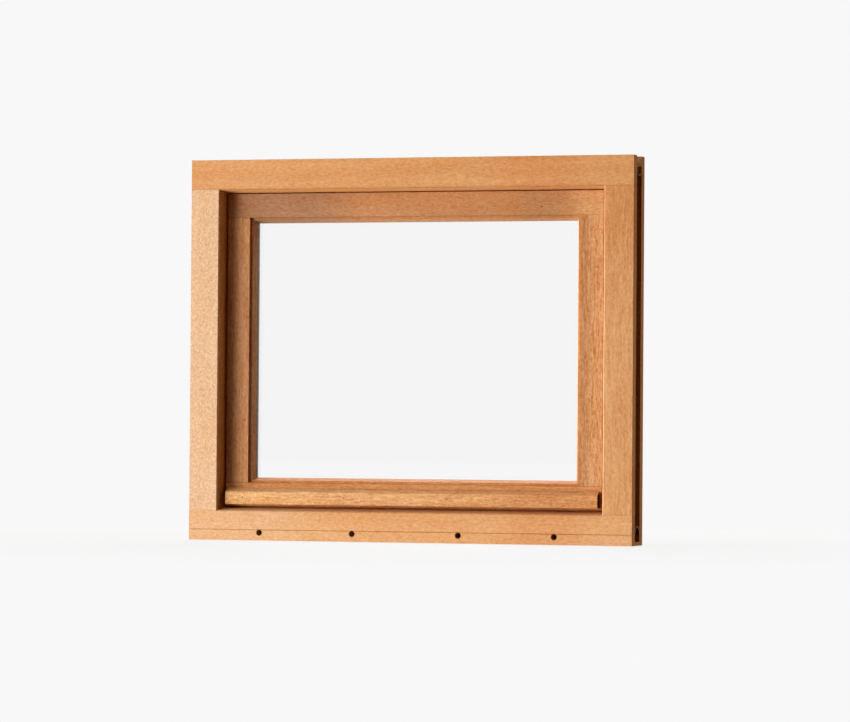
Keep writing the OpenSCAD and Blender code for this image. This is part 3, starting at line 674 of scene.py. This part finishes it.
def mark_recesses(piece):
    """Paints shade on a frame member's slot walls and on a jamb's reveals, and keeps the dark arrises to a
    jamb's ends, where the joints are.
    """
    jamb = "jamb" in piece.name
    for face in piece.data.polygons:
        y, z = face.center.y, face.center.z
        inset = FRAME_WIDTH / 2 - abs(face.center.x)
        below = FRAME_HEIGHT - z
        slot_deep = SLOT_MOUTH < inset < SLOT_FLOOR or SLOT_MOUTH < below < SLOT_FLOOR
        if slot_deep and SLOT_FRONT < y < SLOT_BACK:
            face.material_index = RECESS
        elif jamb and face.material_index == ARRIS:
            if min(z, below) > JOINT_REACH:
                face.material_index = LONG
        # A jamb's reveals take the end material, whose tone on the jambs is painted shade
        elif jamb and abs(face.normal.x) > SQUARE_ON and y < REVEAL_BACK and inset > REVEAL_INSET:
            face.material_index = END_AND_REVEAL


def mark_ends(piece, grain):
    """Gives the faces that look along the grain's axis the end-grain material."""
    for face in piece.data.polygons:
        if abs(face.normal[grain]) > FACING:
            face.material_index = END_AND_REVEAL


def eased(node, name, width, materials, grain=None, dark_arris=False):
    """A copy of a CAD node with its flats made whole and its edges rounded, which replaces the node."""
    piece = bpy.data.objects.new(name, frame["nodes"][node].data.copy())
    bpy.context.scene.collection.objects.link(piece)
    only(piece)
    bpy.ops.mesh.customdata_custom_splitnormals_clear()
    bpy.ops.object.mode_set(mode="EDIT")
    bpy.ops.mesh.select_all(action="SELECT")
    bpy.ops.mesh.remove_doubles(threshold=MERGE_REACH)
    bpy.ops.mesh.dissolve_limited(angle_limit=math.radians(FLAT_ANGLE))
    bpy.ops.mesh.faces_shade_smooth()
    bpy.ops.object.mode_set(mode="OBJECT")
    bevel = piece.modifiers.new("eased edges", "BEVEL")
    bevel.width = width
    bevel.segments = EASE_SEGMENTS
    bevel.limit_method = "ANGLE"
    bevel.angle_limit = math.radians(SHARP_ANGLE)
    bevel.harden_normals = True
    piece.data.materials.clear()
    for material in materials:
        piece.data.materials.append(material)
    for face in piece.data.polygons:
        face.material_index = LONG
    if grain is not None:
        mark_ends(piece, grain)
    # The bevel's faces take the arris material, darkened with painted shade
    if dark_arris:
        bevel.material = ARRIS
    bpy.ops.object.modifier_apply(modifier=bevel.name)
    if grain is not None and not dark_arris:
        mark_ends(piece, grain)
    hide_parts(node)
    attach(piece, node_body[node])
    return piece


def pick_faces(piece, wanted):
    """Opens a piece in edit mode with only the wanted faces selected."""
    bpy.context.tool_settings.mesh_select_mode = (False, False, True)
    bpy.ops.object.mode_set(mode="EDIT")
    bpy.ops.mesh.select_all(action="DESELECT")
    bpy.ops.object.mode_set(mode="OBJECT")
    for face in piece.data.polygons:
        face.select = wanted(face)
    bpy.ops.object.mode_set(mode="EDIT")


def cross_punch():
    """A tapered cross that points along -Y from its middle, to cut a driver's recess with."""
    bpy.ops.object.select_all(action="DESELECT")
    bpy.ops.mesh.primitive_cube_add(size=1)
    punch = bpy.context.object
    punch.scale = (CROSS_WIDTH, 2 * CROSS_DEPTH, CROSS_WIDTH)
    bpy.ops.object.transform_apply(location=False, rotation=False, scale=True)
    pick_faces(punch, lambda face: abs(face.normal.y) < FACING)
    bpy.ops.mesh.extrude_faces_move(TRANSFORM_OT_shrink_fatten={"value": CROSS_REACH - CROSS_WIDTH / 2})
    bpy.ops.object.mode_set(mode="OBJECT")
    pick_faces(punch, lambda face: face.normal.y < -FACING)
    bpy.ops.transform.resize(value=(CROSS_TAPER, 1, CROSS_TAPER), center_override=(0, -CROSS_DEPTH, 0))
    bpy.ops.object.mode_set(mode="OBJECT")
    return punch


def recessed(node, name, width, material, heads):
    """A set of screws with a driver's cross cut into every head, each turned its own way."""
    piece = eased(node, name, width, [material])
    pattern = cross_punch()
    punches = []
    for count, place in enumerate(heads):
        punch = bpy.data.objects.new("punch", pattern.data.copy())
        bpy.context.scene.collection.objects.link(punch)
        punch.location = place
        punch.rotation_euler = (0, math.radians(CROSS_TURN * count), 0)
        punches.append(punch)
    bpy.data.objects.remove(pattern)
    only(punches[0])
    for punch in punches:
        punch.select_set(True)
    bpy.ops.object.transform_apply(location=True, rotation=True, scale=False)
    bpy.ops.object.join()
    only(piece)
    cut = piece.modifiers.new("driver recesses", "BOOLEAN")
    cut.operation = "DIFFERENCE"
    cut.solver = "EXACT"
    cut.object = punches[0]
    bpy.ops.object.modifier_apply(modifier=cut.name)
    bpy.data.objects.remove(punches[0])


for node, timber in WOODS.items():
    if node == "sash_dowels":
        dress(node, timber[0])
    else:
        upright = "jamb" in node or "stile" in node or node in ("bead_left", "bead_right")
        grain = 2 if upright else 0
        piece = eased(
            node, node + "_timber", TIMBER_EASE, timber, grain=grain, dark_arris=node != "weather_bar"
        )
        if node in ("head", "sill", "jamb_left", "jamb_right"):
            mark_recesses(piece)

for node, material in {
    "hinge_leaf_frame": STEEL, "hinge_leaf_sash": STEEL, "hinge_pins": STEEL,
    "stay_left": STEEL_UPRIGHT, "stay_right": STEEL_UPRIGHT, "guide_left": STEEL_UPRIGHT,
    "guide_right": STEEL_UPRIGHT, "bolt_housing": STEEL_UPRIGHT, "bolt": STEEL_UPRIGHT,
    "bolt_knob": STEEL, "keep": STEEL,
}.items():
    eased(node, node + "_steel", METAL_EASE, [material])

for node, heads in SCREW_HEADS.items():
    recessed(node, node + "_zinc", HEAD_EASE, ZINC, heads)

for node, material in {
    "frame_screws": ZINC, "weather_bar_pins": PIN_STEEL, "bead_pins": PIN_STEEL, "frame_gasket": GASKET,
    "glass_outer": GLASS, "glass_inner": GLASS, "spacer_bar": SPACER, "edge_seal": SEALANT,
    "glazing_tape_outer": TAPE, "glazing_tape_inner": TAPE, "setting_blocks": BLOCKS,
}.items():
    dress(node, material)


# ---- studio ----------------------------------------------------------------------------------
def soft_light(name, place, target, width, height, watts, colour=(1, 1, 1)):
    """A rectangular softbox that faces the target."""
    data = bpy.data.lights.new(name, "AREA")
    data.shape = "RECTANGLE"
    data.size = width
    data.size_y = height
    data.energy = watts
    data.color = colour
    lamp = bpy.data.objects.new(name, data)
    lamp.location = place
    lamp.rotation_euler = (Vector(target) - Vector(place)).to_track_quat("-Z", "Y").to_euler()
    lamp.visible_camera = False
    lamp.visible_transmission = False
    lamp.visible_glossy = name not in UNMIRRORED
    bpy.context.scene.collection.objects.link(lamp)


MIDDLE = (0, 0, 0.36)
soft_light("key", (-12.4, -6.3, 0.6), MIDDLE, 8.5, 9.0, 2540)
soft_light("low", (-4.6, -3.4, -4.0), MIDDLE, 3.0, 2.4, 330)
soft_light("top", (-2.7, -4.6, 5.0), MIDDLE, 3.0, 2.4, 55)
soft_light("room", (-0.8, 3.2, 1.6), MIDDLE, 2.0, 2.0, 100)
soft_light("side", (5.2, 0.04, 0.5), (0, 0.02, 0.36), 0.2, 2.0, 43, (1.0, 0.8, 0.55))


def seen_by(tree, path, *rays):
    """One for the rays named, nought for all others."""
    seen = path.outputs[rays[0]]
    for ray in rays[1:]:
        seen = value_of(tree, "MAXIMUM", seen, path.outputs[ray])
    return seen


world = bpy.data.worlds.new("studio")
world.use_nodes = True
bpy.context.scene.world = world
tree = world.node_tree
ambient = tree.nodes["Background"]
path = add(tree, "ShaderNodeLightPath")
seen = seen_by(tree, path, "Is Camera Ray", "Is Transmission Ray")
level = remap(tree, seen, 0, 1, AMBIENT, BACKDROP)
mirrored = value_of(tree, "MULTIPLY", path.outputs["Is Glossy Ray"], MIRRORED)
tree.links.new(value_of(tree, "MAXIMUM", level, mirrored), ambient.inputs["Strength"])
plain = value_of(tree, "MAXIMUM", seen, path.outputs["Is Glossy Ray"])
tree.links.new(blend_colour(tree, plain, AMBIENT_WARMTH, WHITE), ambient.inputs["Color"])

bpy.ops.mesh.primitive_plane_add(size=FLOOR_SIZE, location=(0, 0, -FLOOR_DROP))
floor = bpy.context.object
floor.name = "floor"
floor.visible_shadow = False
floor.visible_diffuse = False
floor_paint = bpy.data.materials.new("floor paint")
floor_paint.use_nodes = True
tree = floor_paint.node_tree
paint = tree.nodes["Principled BSDF"]
paint.inputs["Base Color"].default_value = (0.9, 0.9, 0.9, 1)
paint.inputs["Roughness"].default_value = 0.9
paint.inputs["Specular IOR Level"].default_value = 0.0
glow = add(tree, "ShaderNodeEmission")
glow.inputs["Color"].default_value = WHITE
place = add(tree, "ShaderNodeTexCoord")
reach = add(tree, "ShaderNodeVectorMath", operation="LENGTH")
tree.links.new(place.outputs["Object"], reach.inputs[0])
shaded = remap(tree, reach.outputs["Value"], SHADOW_CORE, SHADOW_REACH, SHADOW_SHARE, 0)
tree.links.new(remap(tree, shaded, 0, SHADOW_SHARE, BACKDROP, 1.0), glow.inputs["Strength"])
path = add(tree, "ShaderNodeLightPath")
seen = seen_by(tree, path, "Is Camera Ray", "Is Transmission Ray", "Is Glossy Ray")
switch = add(tree, "ShaderNodeMixShader")
glowing = value_of(tree, "MULTIPLY", seen, value_of(tree, "SUBTRACT", 1.0, shaded))
tree.links.new(glowing, switch.inputs[0])
tree.links.new(paint.outputs[0], switch.inputs[1])
tree.links.new(glow.outputs[0], switch.inputs[2])
tree.links.new(switch.outputs[0], tree.nodes["Material Output"].inputs["Surface"])
floor.data.materials.append(floor_paint)
